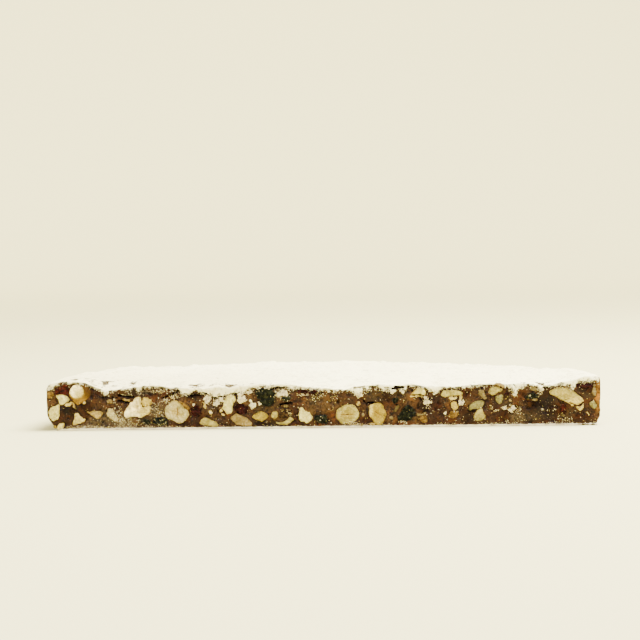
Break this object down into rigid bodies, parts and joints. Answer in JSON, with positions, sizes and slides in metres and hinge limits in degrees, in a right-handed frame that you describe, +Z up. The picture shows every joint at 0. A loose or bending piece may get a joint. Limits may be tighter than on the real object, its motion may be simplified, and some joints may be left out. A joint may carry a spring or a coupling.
{
  "type": "panforte",
  "caption": "Half of a round panforte cake: dense honey dough with nuts and candied fruit showing at the cut, on a wafer, dusted with icing sugar.",
  "frame": {"origin": "middle of the base of the part's box, on the surface that the cake lies on", "axes": "+Z up; X along the straight cut face, its left end at -X; the cut face looks towards -Y and the round rim lies towards +Y"},
  "size_m": [0.3014, 0.153, 0.0264],
  "materials": {
    "dough": "sticky baked honey dough, semi-gloss",
    "icing_sugar": "matt powder",
    "wafer": "matt starch wafer",
    "hazelnut": "cut nut, satin",
    "almond": "cut nut, satin",
    "nut_piece": "broken nut, matt",
    "cherry": "candied fruit, glossy",
    "green_fruit": "candied fruit, glossy",
    "peel": "candied peel, glossy"
  },
  "bodies": {
    "root": {"dough": "dough", "icing_sugar": "icing_sugar", "wafer": "wafer", "hazelnut_01": "hazelnut", "hazelnut_02": "hazelnut", "hazelnut_03": "hazelnut", "hazelnut_04": "hazelnut", "almond_01": "almond", "almond_02": "almond", "almond_03": "almond", "almond_04": "almond", "almond_05": "almond", "almond_06": "almond", "almond_07": "almond", "almond_08": "almond", "almond_09": "almond", "nut_piece_01": "nut_piece", "nut_piece_02": "nut_piece", "nut_piece_03": "nut_piece", "nut_piece_04": "nut_piece", "nut_piece_05": "nut_piece", "nut_piece_06": "nut_piece", "nut_piece_07": "nut_piece", "nut_piece_08": "nut_piece", "nut_piece_09": "nut_piece", "nut_piece_10": "nut_piece", "nut_piece_11": "nut_piece", "nut_piece_12": "nut_piece", "nut_piece_13": "nut_piece", "nut_piece_14": "nut_piece", "nut_piece_15": "nut_piece", "cherry_01": "cherry", "cherry_02": "cherry", "cherry_03": "cherry", "cherry_04": "cherry", "green_fruit_01": "green_fruit", "green_fruit_02": "green_fruit", "green_fruit_03": "green_fruit", "green_fruit_04": "green_fruit", "green_fruit_05": "green_fruit", "green_fruit_06": "green_fruit", "green_fruit_07": "green_fruit", "peel_01": "peel", "peel_02": "peel", "peel_03": "peel"}
  },
  "joints": []
}
